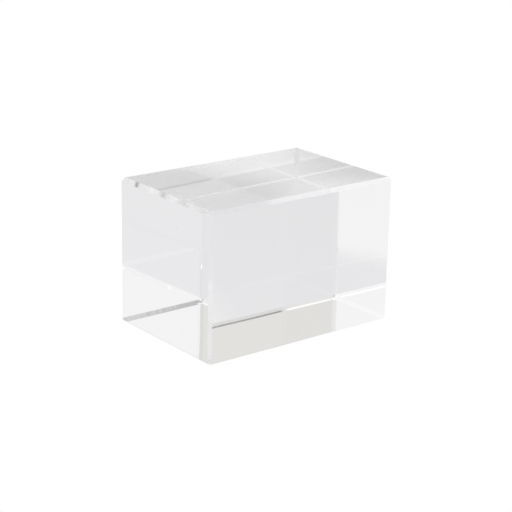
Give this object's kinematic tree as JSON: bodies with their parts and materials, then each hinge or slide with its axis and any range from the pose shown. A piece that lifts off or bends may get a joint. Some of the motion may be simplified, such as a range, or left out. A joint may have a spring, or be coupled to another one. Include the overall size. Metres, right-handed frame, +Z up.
{
  "type": "acrylic display block",
  "caption": "Solid clear acrylic display block with polished faces and a bevel on every edge, used as a small riser for an exhibit.",
  "frame": {"origin": "middle of the base face, the one that the block stands on", "axes": "+Z up out of the top face, +X along the block's length, -Y out of the long front face"},
  "size_m": [0.0762, 0.0508, 0.0508],
  "materials": {
    "clear_acrylic": "polished"
  },
  "bodies": {
    "root": {"acrylic_block": "clear_acrylic"}
  },
  "joints": []
}
